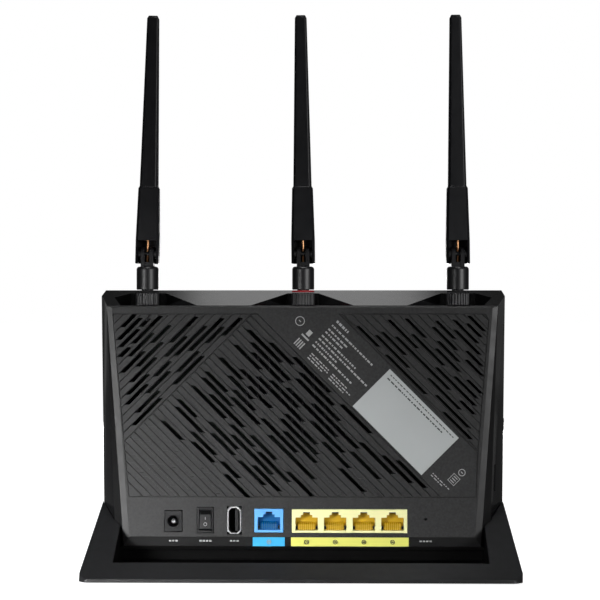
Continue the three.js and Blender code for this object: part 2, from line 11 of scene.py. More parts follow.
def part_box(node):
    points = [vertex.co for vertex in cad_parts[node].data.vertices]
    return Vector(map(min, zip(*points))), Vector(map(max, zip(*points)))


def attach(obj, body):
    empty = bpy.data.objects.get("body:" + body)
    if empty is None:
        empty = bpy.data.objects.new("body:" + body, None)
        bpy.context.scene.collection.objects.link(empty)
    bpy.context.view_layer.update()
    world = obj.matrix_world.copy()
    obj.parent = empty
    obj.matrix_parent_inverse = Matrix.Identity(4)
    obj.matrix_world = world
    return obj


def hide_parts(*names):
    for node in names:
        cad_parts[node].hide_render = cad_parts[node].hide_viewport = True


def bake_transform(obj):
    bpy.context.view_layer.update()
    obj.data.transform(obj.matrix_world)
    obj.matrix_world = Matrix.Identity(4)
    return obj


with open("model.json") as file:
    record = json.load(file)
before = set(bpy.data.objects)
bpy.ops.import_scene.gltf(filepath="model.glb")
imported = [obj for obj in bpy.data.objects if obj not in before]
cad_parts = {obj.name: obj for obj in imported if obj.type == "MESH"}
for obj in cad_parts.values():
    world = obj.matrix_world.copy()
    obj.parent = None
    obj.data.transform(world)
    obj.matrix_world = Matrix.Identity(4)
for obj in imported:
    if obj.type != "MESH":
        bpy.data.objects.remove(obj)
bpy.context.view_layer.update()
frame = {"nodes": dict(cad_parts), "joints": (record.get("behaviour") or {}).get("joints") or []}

# Lengths in this script are millimetres, turned into Blender's metres by MM when a mesh is made.
MM = 0.001
ROOT2 = math.sqrt(2)
SIDES = 72                       # facets of a visible round piece
WELD_DISTANCE = 0.002            # vertices closer than this are one
FLAT_ANGLE = 0.1                 # degrees between two faces that are taken as one flat face
joints = {joint["name"]: joint for joint in frame["joints"]}
random.seed(7)


def node_box(node):
    """Lowest and highest corner of a CAD node, in millimetres."""
    low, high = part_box(node)
    return low / MM, high / MM


def joint_point(name):
    return Vector(joints[name]["pos_m"]) / MM


BACK_Y = node_box("rear_cover")[0].y          # the flat rear face
SOCKET_Y = node_box("wan_jack")[0].y          # the sockets' faces


# ---- mesh helpers ---------------------------------------------------------------------
def add_prism(bm, outline, y0, y1, mouth=None):
    """Closed prism of an outline in X and Z. The mouth, if given, is the outline at y0."""
    front = [bm.verts.new((x, y0, z)) for x, z in (mouth or outline)]
    back = [bm.verts.new((x, y1, z)) for x, z in outline]
    close_between(bm, [front, back])


def close_between(bm, rings):
    """Faces between rings of vertices, and one face over each end."""
    count = len(rings[0])
    for lower, upper in zip(rings, rings[1:]):
        for i in range(count):
            j = (i + 1) % count
            bm.faces.new((lower[i], lower[j], upper[j], upper[i]))
    bm.faces.new(rings[0][::-1])
    bm.faces.new(rings[-1])


def add_skin(bm, sections):
    close_between(bm, [[bm.verts.new(point) for point in section] for section in sections])


def add_box(bm, low, high):
    corners = [(low[0], low[2]), (high[0], low[2]), (high[0], high[2]), (low[0], high[2])]
    add_prism(bm, corners, low[1], high[1])


def ring_points(radius, height, sides):
    """Points of a level circle around the origin."""
    return [Vector((radius * math.cos(angle), radius * math.sin(angle), height))
            for angle in (2 * math.pi * i / sides for i in range(sides))]


def add_lathe(bm, profile, where, sides=SIDES):
    """Turned solid. The profile holds radius and height pairs; where maps it into the frame.
    A profile that starts and ends on the axis is closed by its tips, another one on itself."""
    on_axis = profile[0][0] == 0
    rings = [[bm.verts.new(where @ point)
              for point in ring_points(radius, height, sides if radius else 1)]
             for radius, height in profile]
    pairs = list(zip(rings, rings[1:]))
    if not on_axis:
        pairs.append((rings[-1], rings[0]))
    for lower, upper in pairs:
        for i in range(sides):
            j = (i + 1) % sides
            if len(lower) == 1:
                bm.faces.new((lower[0], upper[j], upper[i]))
            elif len(upper) == 1:
                bm.faces.new((lower[i], lower[j], upper[0]))
            else:
                bm.faces.new((lower[i], lower[j], upper[j], upper[i]))


def to_object(bm, name):
    """Turns a bmesh in millimetres into an object in metres, with its faces pointing out."""
    bmesh.ops.recalc_face_normals(bm, faces=bm.faces)
    mesh = bpy.data.meshes.new(name)
    bm.to_mesh(mesh)
    bm.free()
    mesh.transform(Matrix.Scale(MM, 4))
    obj = bpy.data.objects.new(name, mesh)
    bpy.context.scene.collection.objects.link(obj)
    return obj


def apply_modifiers(obj):
    depsgraph = bpy.context.evaluated_depsgraph_get()
    depsgraph.update()
    mesh = bpy.data.meshes.new_from_object(obj.evaluated_get(depsgraph))
    obj.modifiers.clear()
    old = obj.data
    obj.data = mesh
    bpy.data.meshes.remove(old)


def boolean(obj, bm, operation="DIFFERENCE"):
    """Cuts the bmesh's solids out of the object, or joins them to it."""
    tool = to_object(bm, "tool")
    modifier = obj.modifiers.new("boolean", "BOOLEAN")
    modifier.solver = "MANIFOLD"
    modifier.operation = operation
    modifier.object = tool
    apply_modifiers(obj)
    mesh = tool.data
    bpy.data.objects.remove(tool)
    bpy.data.meshes.remove(mesh)


def copy_of(node, name, whole=True):
    """The CAD node's own shape as a new object, with its flat faces whole again if wanted."""
    bm = bmesh.new()
    bm.from_mesh(frame["nodes"][node].data)
    bmesh.ops.scale(bm, vec=(1 / MM,) * 3, verts=bm.verts)
    bmesh.ops.remove_doubles(bm, verts=bm.verts, dist=WELD_DISTANCE)
    if whole:
        bmesh.ops.dissolve_limit(bm, angle_limit=math.radians(FLAT_ANGLE), verts=bm.verts,
                                 edges=bm.edges)
    return to_object(bm, name)


def drop_slivers(obj):
    """Rebuilds the mesh without the pairs of faces on the same vertices, which enclose
    nothing, and without the vertices that no other face uses."""
    mesh, bm, verts = obj.data, bmesh.new(), {}
    uses = Counter(frozenset(polygon.vertices) for polygon in mesh.polygons)
    for polygon in mesh.polygons:
        if uses[frozenset(polygon.vertices)] > 1:
            continue
        for index in polygon.vertices:
            if index not in verts:
                verts[index] = bm.verts.new(mesh.vertices[index].co)
        bm.faces.new([verts[index] for index in polygon.vertices])
    bm.to_mesh(mesh)
    bm.free()


def round_edges(obj, width, segments=3, angle=25, length=2.5, chosen=None):
    """Rounds the object's outer edges that are sharper than the angle and longer than the
    length. The chosen function, if given, also has to accept the edge's two ends."""
    bm = bmesh.new()
    bm.from_mesh(obj.data)
    rounding = bm.faces.layers.int.get("rounding") or bm.faces.layers.int.new("rounding")
    edges = []
    for edge in bm.edges:
        if len(edge.link_faces) != 2 or edge.calc_length() < length * MM:
            continue
        if math.degrees(edge.calc_face_angle_signed()) < angle:
            continue
        if chosen and not chosen(*(vert.co / MM for vert in edge.verts)):
            continue
        edges.append(edge)
    made = bmesh.ops.bevel(bm, geom=edges, offset=width * MM, offset_type="OFFSET",
                           segments=segments, profile=0.5, affect="EDGES", clamp_overlap=False,
                           miter_outer="SHARP")
    for face in made["faces"]:
        face[rounding] = 1
    bm.to_mesh(obj.data)
    bm.free()


def smooth(obj, angle, flat=12):
    """Smooth shading up to the angle across rounded edges. Elsewhere on a piece that has
    rounded edges the limit is flat, so its large faces stay flat."""
    bm = bmesh.new()
    bm.from_mesh(obj.data)
    rounding = bm.faces.layers.int.get("rounding")
    for face in bm.faces:
        face.smooth = True
    for edge in bm.edges:
        soft = rounding is None or any(face[rounding] for face in edge.link_faces)
        limit = math.radians(angle if soft else flat)
        edge.smooth = len(edge.link_faces) == 2 and edge.calc_face_angle(0) < limit
    if rounding is not None:
        bm.faces.layers.int.remove(rounding)
    bm.to_mesh(obj.data)
    bm.free()
    weighted = obj.modifiers.new("weighted", "WEIGHTED_NORMAL")
    weighted.keep_sharp = True
    apply_modifiers(obj)


def place(obj, material, body, slot, *replaced):
    """Gives a finished piece its material, its body and the CAD nodes it stands for."""
    obj.data.materials.clear()
    obj.data.materials.append(MATERIALS[material])
    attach(obj, body)
    if replaced:
        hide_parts(*replaced)
    return obj


def finish(obj, material, body, slot, *replaced, angle=40):
    """Smooths a piece up to the angle and places it."""
    smooth(obj, angle)
    return place(obj, material, body, slot, *replaced)


def make(bm, name, material, body, slot, *replaced, angle=40):
    """A bmesh as a finished piece."""
    return finish(to_object(bm, name), material, body, slot, *replaced, angle=angle)


def paint_shade(obj, material, chosen):
    """Gives a second, darker material to the faces that chosen accepts: painted shade. It gets the
    face's middle in millimetres and the face itself."""
    obj.data.materials.append(MATERIALS[material])
    for polygon in obj.data.polygons:
        if chosen(polygon.center / MM, polygon):
            polygon.material_index = 1


# ---- materials ------------------------------------------------------------------------
# Noise scales are features per metre. Bump heights are metres.
TONE_SCALE, GLOSS_SCALE, GRAIN_SCALE = 28, 160, 2600
SPARKLE_SCALE = 900
SCRATCH_SCALE = 900
GRAIN_HEIGHT, SCRATCH_HEIGHT, TRACK_HEIGHT = 0.00008, 0.00004, 0.00005


def new_material(name, color, roughness, metallic=0.0, specular=0.5):
    material = bpy.data.materials.new(name)
    material.use_nodes = True
    shader = shader_of(material.node_tree)
    shader.inputs["Base Color"].default_value = (*color, 1)
    shader.inputs["Roughness"].default_value = roughness
    shader.inputs["Metallic"].default_value = metallic
    shader.inputs["Specular IOR Level"].default_value = specular
    return material


def shader_of(tree):
    return tree.nodes["Principled BSDF"]


def noise(tree, scale, detail=2.0, stretch=None):
    """Noise over the object's own coordinates, in metres."""
    nodes, links = tree.nodes, tree.links
    coordinates = nodes.new("ShaderNodeTexCoord")
    texture = nodes.new("ShaderNodeTexNoise")
    texture.inputs["Scale"].default_value = scale
    texture.inputs["Detail"].default_value = detail
    if stretch:
        mapping = nodes.new("ShaderNodeMapping")
        mapping.inputs["Scale"].default_value = stretch
        links.new(coordinates.outputs["Object"], mapping.inputs["Vector"])
        links.new(mapping.outputs["Vector"], texture.inputs["Vector"])
    else:
        links.new(coordinates.outputs["Object"], texture.inputs["Vector"])
    return texture.outputs["Fac"]


def spread(tree, source, low, high):
    """Maps a 0 to 1 value onto a range, with most of the change in the middle."""
    ranged = tree.nodes.new("ShaderNodeMapRange")
    ranged.inputs["From Min"].default_value = 0.3
    ranged.inputs["From Max"].default_value = 0.7
    ranged.inputs["To Min"].default_value = low
    ranged.inputs["To Max"].default_value = high
    tree.links.new(source, ranged.inputs["Value"])
    return ranged.outputs["Result"]


def mottle(tree, source, color, share):
    """The colour, darker and lighter by a share of itself as the source goes from 0 to 1."""
    mix = tree.nodes.new("ShaderNodeMix")
    mix.data_type = "RGBA"
    mix.inputs["A"].default_value = (*[c * (1 - share) for c in color], 1)
    mix.inputs["B"].default_value = (*[min(1, c * (1 + share)) for c in color], 1)
    tree.links.new(source, mix.inputs["Factor"])
    tree.links.new(mix.outputs["Result"], shader_of(tree).inputs["Base Color"])


def bump(tree, source, strength, distance):
    node = tree.nodes.new("ShaderNodeBump")
    node.inputs["Strength"].default_value = strength
    node.inputs["Distance"].default_value = distance
    tree.links.new(source, node.inputs["Height"])
    tree.links.new(node.outputs["Normal"], shader_of(tree).inputs["Normal"])


def moulded(name, color, roughness, grain=0.25, share=0.1, specular=0.5, patches=0.05):
    """Injection-moulded plastic: fine spark-eroded grain, slow changes of tone and gloss."""
    material = new_material(name, color, roughness, specular=specular)
    tree = material.node_tree
    mottle(tree, spread(tree, noise(tree, TONE_SCALE, 4), 0, 1), color, share)
    tree.links.new(spread(tree, noise(tree, GLOSS_SCALE, 3), roughness - patches,
                          roughness + patches), shader_of(tree).inputs["Roughness"])
    bump(tree, noise(tree, GRAIN_SCALE, 3), grain, GRAIN_HEIGHT)
    return material


def textured(name, color, roughness, share):
    """Moulded plastic with a coarser, sparkling grain of about one millimetre."""
    material = moulded(name, color, roughness, grain=0.3, share=0.06)
    tree = material.node_tree
    grain = spread(tree, noise(tree, SPARKLE_SCALE, 2), 1 - share, 1 + share)
    shader = shader_of(tree)
    slow = shader.inputs["Base Color"].links[0].from_socket
    mix = tree.nodes.new("ShaderNodeVectorMath")
    mix.operation = "SCALE"
    tree.links.new(slow, mix.inputs[0])
    tree.links.new(grain, mix.inputs["Scale"])
    tree.links.new(mix.outputs["Vector"], shader.inputs["Base Color"])
    return material


def metal(name, color, roughness, stretch=(1, 1, 1), share=0.12, metallic=1.0):
    """Plated or drawn metal with a faint direction to its scratches."""
    material = new_material(name, color, roughness, metallic=metallic)
    tree = material.node_tree
    lines = noise(tree, SCRATCH_SCALE, 4, stretch)
    mottle(tree, spread(tree, lines, 0, 1), color, share)
    tree.links.new(spread(tree, lines, roughness - 0.07, roughness + 0.1),
                   shader_of(tree).inputs["Roughness"])
    bump(tree, lines, 0.12, SCRATCH_HEIGHT)
    return material


def circuit_board():
    """Green solder mask over copper tracks, seen as slightly lighter angular bands."""
    # The green is darkened nearly to black: painted shade for the inside of the case, seen through
    # the slots.
    color = (0.0012, 0.005, 0.003)
    material = new_material("circuit_board", color, 0.5, specular=0.15)
    tree = material.node_tree
    coordinates = tree.nodes.new("ShaderNodeTexCoord")
    tracks = tree.nodes.new("ShaderNodeTexBrick")
    tracks.inputs["Scale"].default_value = 160
    tracks.inputs["Mortar Size"].default_value = 0.03
    tree.links.new(coordinates.outputs["Object"], tracks.inputs["Vector"])
    mottle(tree, tracks.outputs["Fac"], color, 0.5)
    bump(tree, tracks.outputs["Fac"], 0.3, TRACK_HEIGHT)
    tree.links.new(spread(tree, noise(tree, 90), 0.45, 0.6),
                   shader_of(tree).inputs["Roughness"])
    return material


MATERIALS = {
    "shell": textured("shell_black", (0.02, 0.02, 0.0205), 0.5, 0.32),
    # painted shade: a darker copy of the shell for the band under the sockets and the side rims
    "shell_painted_shade": moulded("shell_black_painted_shade", (0.008, 0.008, 0.0083), 0.45),
    "gloss_black": moulded("shell_gloss_black", (0.007, 0.007, 0.0075), 0.2, grain=0.02,
                           share=0.05, patches=0.01),
    # painted shade: near black for the pockets' back walls, the stand's trough and the rocker's
    # upper end
    "painted_shade_black": moulded("painted_shade_black", (0.0008, 0.0008, 0.0009), 0.7, specular=0.08),
    "stand": moulded("stand_black", (0.0075, 0.0077, 0.0085), 0.42, grain=0.1),
    "antenna_plastic": moulded("antenna_black", (0.0085, 0.0087, 0.0105), 0.42, grain=0.12,
                               specular=0.35),
    "collar": moulded("collar_black", (0.012, 0.012, 0.0135), 0.38, grain=0.02,
                      patches=0.01),
    "rubber": moulded("rubber_black", (0.012, 0.012, 0.0125), 0.8, grain=0.5, specular=0.3),
    "red_ring": moulded("ring_red", (0.36, 0.012, 0.018), 0.4, grain=0.1),
    "socket_black": moulded("socket_black", (0.01, 0.01, 0.011), 0.4, grain=0.1),
    "wan_blue": moulded("socket_blue", (0.15, 0.46, 0.98), 0.34, grain=0.06, share=0.05),
    "lan_yellow": moulded("socket_yellow", (1.0, 0.97, 0.5), 0.34, grain=0.06, share=0.05),
    # painted shade: darker, deeper copies of the socket colours for the combs inside the sockets
    "blue_painted_shade": moulded("socket_blue_painted_shade", (0.0, 0.115, 0.32), 0.4, grain=0.06, share=0.05),
    "yellow_painted_shade": moulded("socket_yellow_painted_shade", (0.62, 0.38, 0.014), 0.4, grain=0.06,
                             share=0.05),
    "steel": metal("plated_steel", (0.62, 0.63, 0.65), 0.28, (1, 6, 1)),
    "bright_steel": metal("tinned_steel", (0.6, 0.6, 0.61), 0.5, metallic=0.5),
    "dark_steel": metal("blackened_steel", (0.12, 0.12, 0.125), 0.4, (1, 6, 1)),
    "contact_gold": metal("contact_gold", (0.83, 0.58, 0.22), 0.4),
    "copper": metal("copper_braid", (0.75, 0.38, 0.18), 0.35, (1, 1, 8)),
    "circuit_board": circuit_board(),
    # painted shade: the heat sink's aluminium is near black so that it stays dark behind the slots
    "aluminium": metal("aluminium_painted_shade_black", (0.025, 0.025, 0.027), 0.5, (1, 1, 9)),
    "label": moulded("label_grey", (0.45, 0.472, 0.472), 0.55, grain=0.05, share=0.03),
    "clear_plastic": moulded("light_window", (0.5, 0.53, 0.55), 0.2, grain=0.02, share=0.04),
    "print_light": moulded("print_light", (0.38, 0.385, 0.385), 0.6, grain=0.05, share=0.05),
    "print_dark": moulded("print_dark", (0.03, 0.03, 0.032), 0.6, grain=0.05, share=0.05),
    "strip_blue": moulded("strip_blue", (0.06, 0.5, 0.9), 0.5, grain=0.05, share=0.03),
    "strip_yellow": moulded("strip_yellow", (0.88, 0.88, 0.2), 0.5, grain=0.05, share=0.03),
}


# ---- camera and light -------------------------------------------------------------------
CAMERA = Vector((19.8, -1004, 143.7))
AIM = Vector((-1.0, -4, 141.6))
SENSOR, LENS = 36, 115.4
MIDDLE = Vector((0, 0, 0.14))    # metres, about the router's middle
ROOM_GLOW = 0.025                # strength of the surroundings as a light
PAPER = 0.18                     # the floor's grey for light that falls on it
FLOOR_SIZE = 9000
FLOOR_FADE = (0.3, 1.5)          # metres from the middle between which the floor turns white
FLOOR_GLOW = (0.88, 1.0)         # how bright the camera sees it there


def make_camera():
    data = bpy.data.cameras.new("camera")
    data.sensor_width = SENSOR
    data.lens = LENS
    camera = bpy.data.objects.new("camera", data)
    camera.location = CAMERA * MM
    camera.rotation_euler = (AIM - CAMERA).to_track_quat("-Z", "Y").to_euler()
    bpy.context.scene.collection.objects.link(camera)
    bpy.context.scene.camera = camera


def make_world():
    """White where the camera looks straight at it. As a light it is a dim grey studio."""
    world = bpy.data.worlds.new("studio")
    world.use_nodes = True
    nodes, links = world.node_tree.nodes, world.node_tree.links
    rays = nodes.new("ShaderNodeLightPath")
    ranged = nodes.new("ShaderNodeMapRange")
    ranged.inputs["To Min"].default_value = ROOM_GLOW
    ranged.inputs["To Max"].default_value = 1.0
    background = nodes["Background"]
    background.inputs["Color"].default_value = (1, 1, 1, 1)
    links.new(rays.outputs["Is Camera Ray"], ranged.inputs["Value"])
    links.new(ranged.outputs["Result"], background.inputs["Strength"])
    bpy.context.scene.world = world


def make_floor():
    """Pale floor. It looks white to the camera, and lights the router only as grey paper does."""
    bm = bmesh.new()
    bmesh.ops.create_grid(bm, x_segments=8, y_segments=8, size=FLOOR_SIZE)
    floor = to_object(bm, "floor")
    material = moulded("floor_pale", (0.6, 0.6, 0.6), 0.8, grain=0.0, share=0.01)
    tree = material.node_tree
    shader = shader_of(tree)
    rays = tree.nodes.new("ShaderNodeLightPath")
    distance = tree.nodes.new("ShaderNodeVectorMath")
    distance.operation = "LENGTH"
    coordinates = tree.nodes.new("ShaderNodeTexCoord")
    glow = tree.nodes.new("ShaderNodeMapRange")
    glow.inputs["From Min"].default_value, glow.inputs["From Max"].default_value = FLOOR_FADE
    glow.inputs["To Min"].default_value, glow.inputs["To Max"].default_value = FLOOR_GLOW
    seen = tree.nodes.new("ShaderNodeMath")
    seen.operation = "MULTIPLY"
    tree.links.new(coordinates.outputs["Object"], distance.inputs[0])
    tree.links.new(distance.outputs["Value"], glow.inputs["Value"])
    tree.links.new(glow.outputs["Result"], seen.inputs[0])
    tree.links.new(rays.outputs["Is Camera Ray"], seen.inputs[1])
    tree.links.new(seen.outputs["Value"], shader.inputs["Emission Strength"])
    shader.inputs["Emission Color"].default_value = (1, 1, 1, 1)
    paper = tree.nodes.new("ShaderNodeMix")
    paper.data_type = "RGBA"
    paper.inputs["A"].default_value = (PAPER, PAPER, PAPER, 1)
    tree.links.new(rays.outputs["Is Camera Ray"], paper.inputs["Factor"])
    tree.links.new(shader.inputs["Base Color"].links[0].from_socket, paper.inputs["B"])
    tree.links.new(paper.outputs["Result"], shader.inputs["Base Color"])
    floor.data.materials.append(material)


def softbox(name, azimuth, elevation, distance, size, radiance, beam=180, target=MIDDLE):
    """Softbox seen from the router's middle at an azimuth from the camera's side, where
    positive is to the right of the picture. Its power follows from how bright it looks from
    the target. A beam below 180 degrees is a grid in front of it that narrows the light.
    Lengths are metres."""
    turn, rise = math.radians(azimuth), math.radians(elevation)
    at = MIDDLE + Vector((math.sin(turn) * math.cos(rise), -math.cos(turn) * math.cos(rise),
                          math.sin(rise))) * distance
    half = math.radians(beam / 2)
    share = 1 if beam == 180 else 1 - half / math.tan(half)
    data = bpy.data.lights.new(name, "AREA")
    data.shape = "RECTANGLE"
    data.size, data.size_y = size
    data.energy = radiance * share * math.pi * size[0] * size[1]
    data.spread = math.radians(beam)
    light = bpy.data.objects.new(name, data)
    light.location = at
    light.rotation_euler = (Vector(target) - at).to_track_quat("-Z", "Y").to_euler()
    bpy.context.scene.collection.objects.link(light)


bpy.context.scene.view_settings.view_transform = "Standard"
make_camera()
make_world()
make_floor()
softbox("left_softbox", -43, -4, 0.62, (0.3, 0.2), 68, 44, (-0.15, 0, -0.055))
softbox("right_softbox", 42, 0, 1.3, (0.6, 0.6), 8.5)
softbox("back_softbox", 181, 28, 2.2, (0.4, 0.8), 0.68)
softbox("top_softbox", 12, 78, 1.2, (0.4, 0.3), 36, 22, (0.05, -0.03, 0))
softbox("front_left_softbox", -145, 6, 1.6, (0.6, 0.8), 0.16)
softbox("front_right_softbox", 145, 6, 1.6, (0.6, 0.8), 0.08)
softbox("front_softbox", 180, -3, 1.2, (0.34, 0.1), 120)


# ---- rear cover -------------------------------------------------------------------------
# The grooved field is laid out in rows at 45 degrees. In the lower and right regions the rows
# run down to the right, in the upper left one up to the right. Each slot is a start and an end
# along its row, and its ends are level with the ground.
ROW_PITCH = 3.425
LOWER_ROW = 1.1                  # middle of row 0 of the lower and right regions
UPPER_PITCH = 3.36
UPPER_ROW = 1.8                  # middle of row 0 of the upper left region
SLOT_WIDTH = 2.1
SLIT_WIDTH = 1.6                 # the part of a slot that is open to the inside
SLIT_INSET = 0.02                # from the slot's walls, so no two faces coincide
FIELD_TOP, FIELD_BOTTOM = 134.3, 39.2
FIELD_LEFT = ((-98.6, FIELD_TOP), (-90.0, FIELD_BOTTOM))
FIELD_RIGHT = ((95.2, FIELD_TOP), (97.0, 131.2))
FIELD_FOOT = (90.4, FIELD_BOTTOM)            # lower right corner of the plain outline
FIELD_SIDE = 91.3                            # where the band's edge meets the right outline
SEAM = -113.4                                # across the rising rows, between the left regions
BAND_LOW, BAND_HIGH = 78.6, 108.7            # the plain diagonal band that carries the label
LOWER_SLOTS = {
    1: [(-107, -93)],
    2: [(-88, -73), (-64, -47)],
    3: [(-92, -75), (-70, -58)],
    4: [(-107, -88)],
    5: [(-109, -96), (-84, -68), (-64, -46)],
    6: [(-89, -69), (-57, -38)],
    7: [(-76, -47)],
    8: [(-109, -85), (-80, -64), (-60, -38)],
    9: [(-99, -75), (-69, -51), (-42, -24)],
    10: [(-108, -87)],
    11: [(-109, -94), (-90, -70), (-62, -30)],
    12: [(-92, -77), (-71, -46)],
    13: [(-99, -82), (-58, -35)],
    14: [(-109, -93), (-88, -72), (-64, -38)],
    15: [(-97, -79), (-64, -42), (-24, -7)],
    16: [(-88, -55), (-40, -21)],
    17: [(-108, -90), (-82, -62), (-52, -29)],
    18: [(-99, -77), (-73, -37), (-26, -6)],
    19: [(-103, -75), (-58, -25)],
    20: [(-109, -85), (-73, -42), (-26, -3)],
    21: [(-96, -80), (-74, -50), (-13, 7)],
    22: [(-82, -56), (-47, -26), (-6, 14)],
}
SHALLOW_SLOTS = {
    -7: [(-103, -96), (-93, -79)],
    -6: [(-106, -75)],
    -5: [(-95, -80)],
    -4: [(-110, -98), (-92, -73)],
    -3: [(-105, -86)],
    -2: [(-95, -76)],
    -1: [(-109, -91), (-72, -60)],
    0: [(-93, -75), (-72, -63)],
    12: [(-38, -15)],
    16: [(-13, 0)],
}
UPPER_SLOTS = {
    -47: [(24, 33)],
    -46: [(18, 34)],
    -45: [(16, 29), (31, 37)],
    -44: [(12, 19), (22, 42)],
    -43: [(16, 33)],
    -42: [(7, 23), (29, 42)],
    -41: [(15, 33)],
    -40: [(7, 25), (36, 55)],
    -39: [(1, 16), (29, 44)],
    -38: [(-3, 12), (18, 29), (33, 55)],
    -37: [(9, 25), (40, 64)],
    -36: [(-2, 14), (28, 43), (49, 61)],
    -35: [(-8, 12), (22, 43), (58, 71)],
}
RIGHT_SLOTS = {
    32: [(-70, -55), (-49, -20), (-7, 13)],
    33: [(-60, -36), (-16, 8)],
    34: [(-59, -42), (-25, -2)],
    35: [(-52, -13), (-5, 5)],
    36: [(-61, -40), (-26, 2)],
    37: [(-47, -24), (-16, 0)],
    38: [(-55, -41), (-33, -16), (-10, 0)],
    39: [(-35, -20)],
    40: [(-42, -25), (-18, -6)],
    41: [(-43, -30), (-21, -10)],
    42: [(-33, -15)],
    43: [(-37, -20)],
    44: [(-31, -21)],
    45: [(-33, -22)],
}


def falling(across, along):
    """Point in X and Z of a row that runs down to the right."""
    return (across + along) / ROOT2, (across - along) / ROOT2


def rising(across, along):
    """Point in X and Z of a row that runs up to the right."""
    return (along + across) / ROOT2, (along - across) / ROOT2


def slot_outline(turn, low, high, start, end, grow=0.0):
    """Parallelogram from low to high across its row, with level ends."""
    middle = (low + high) / 2
    corners = []
    for across, along, out in ((low, start, -1), (low, end, 1), (high, end, 1), (high, start, -1)):
        side = -1 if across == low else 1
        corners.append(turn(across + side * grow, along + across + side * grow - middle
                            + out * grow * ROOT2))
    return corners


def clip_row(polygon, turn, across):
    """Where a row enters and leaves a convex outline, or None where it misses it."""
    origin = Vector(turn(across, 0))
    step = Vector(turn(across, 1)) - origin
    middle = sum((Vector(p) for p in polygon), Vector((0, 0))) / len(polygon)
    start, end = -1e6, 1e6
    for a, b in zip(polygon, polygon[1:] + polygon[:1]):
        edge = Vector(b) - Vector(a)
        normal = Vector((-edge.y, edge.x))
        if normal.dot(middle - Vector(a)) < 0:
            normal = -normal
        slope, height = normal.dot(step), normal.dot(origin - Vector(a))
        if abs(slope) < 1e-9:
            if height < 0:
                return None
            continue
        if slope > 0:
            start = max(start, -height / slope)
        else:
            end = min(end, -height / slope)
    return (start, end) if end - start > 1 else None


def add_groove(bm, a, b, width=0.62, depth=0.45, floor=0.3, rise=0.3):
    """A straight groove with leaning walls between two points of the rear face. The floor is
    its share of the width, and the cutting solid stands out of the face by the rise."""
    a, b = Vector(a), Vector(b)
    along = (b - a).normalized()
    side = Vector((-along.y, along.x))
    top = width / 2 + (width - width * floor) / 2 * rise / depth
    foot = width * floor / 2
    corners = ((top, -rise), (-top, -rise), (-foot, depth), (foot, depth))
    add_skin(bm, [[(point.x + side.x * w, BACK_Y + y, point.y + side.y * w) for w, y in corners]
                  for point in (a, b)])


def field_regions():
    """The three grooved regions as convex outlines in X and Z."""
    left_top, left_bottom = (Vector(corner) for corner in FIELD_LEFT)
    seam = SEAM * ROOT2                              # X minus Z along the seam
    low, high = BAND_LOW * ROOT2, BAND_HIGH * ROOT2  # X plus Z along the band's two edges

    def on_left(difference):
        share = (difference - (left_bottom.x - left_bottom.y)) / (
            (left_top.x - left_top.y) - (left_bottom.x - left_bottom.y))
        return left_bottom.lerp(left_top, share)

    seam_left = on_left(seam)
    lower = [seam_left, left_bottom, Vector((low - FIELD_BOTTOM, FIELD_BOTTOM)),
             Vector((low - FIELD_TOP, FIELD_TOP)), Vector((seam + FIELD_TOP, FIELD_TOP))]
    upper = [left_top, seam_left, Vector((seam + FIELD_TOP, FIELD_TOP))]
    right = [Vector((high - FIELD_TOP, FIELD_TOP)), *(Vector(corner) for corner in FIELD_RIGHT),
             Vector((FIELD_SIDE, high - FIELD_SIDE))]
    return lower, upper, right


def cut_grooves(cover, turn, first, pitch, below, regions, gap=0.3):
    """A groove below the middle of each row, nearly from end to end of the row's region."""
    grooves = bmesh.new()
    for region, rows in regions:
        for row in rows:
            across = first + row * pitch - below
            ends = clip_row(region, turn, across)
            if ends:
                add_groove(grooves, turn(across, ends[0] + gap), turn(across, ends[1] - gap))
    boolean(cover, grooves)


def cut_outlines(cover, lower, upper, right):
    """A fine groove around each region and the plain corner. Each is a cut of its own,
    because they meet at their ends."""
    plain = [lower[2], Vector(FIELD_FOOT), right[-1]]
    segments = [pair for region in (lower, upper, right)
                for pair in zip(region, region[1:] + region[:1])] + list(zip(plain, plain[1:]))
    middles = set()
    for a, b in segments:
        middle = (round(a.x + b.x, 1), round(a.y + b.y, 1))
        if middle in middles:                    # the two left regions share their seam
            continue
        middles.add(middle)
        outline = bmesh.new()
        add_groove(outline, a, b, width=0.5, depth=0.37)
        boolean(cover, outline)


def add_slots(recesses, slits, table, turn, first, pitch, depth, side, slit=SLIT_WIDTH):
    """Recesses with leaning mouths. Side says which half is open to the inside, if any."""
    for row, ends in table.items():
        middle = first + row * pitch
        low, high = middle - SLOT_WIDTH / 2, middle + SLOT_WIDTH / 2
        for start, end in ends:
            add_prism(recesses, slot_outline(turn, low, high, start, end),
                      BACK_Y - 0.1, BACK_Y + depth,
                      slot_outline(turn, low, high, start, end, 0.14))
            if side:
                edge = low + SLIT_INSET if side < 0 else high - slit - SLIT_INSET
                add_prism(slits, slot_outline(turn, edge, edge + slit,
                                              start + SLIT_INSET, end - SLIT_INSET),
                          BACK_Y + depth - 0.4, BACK_Y + 2.6)


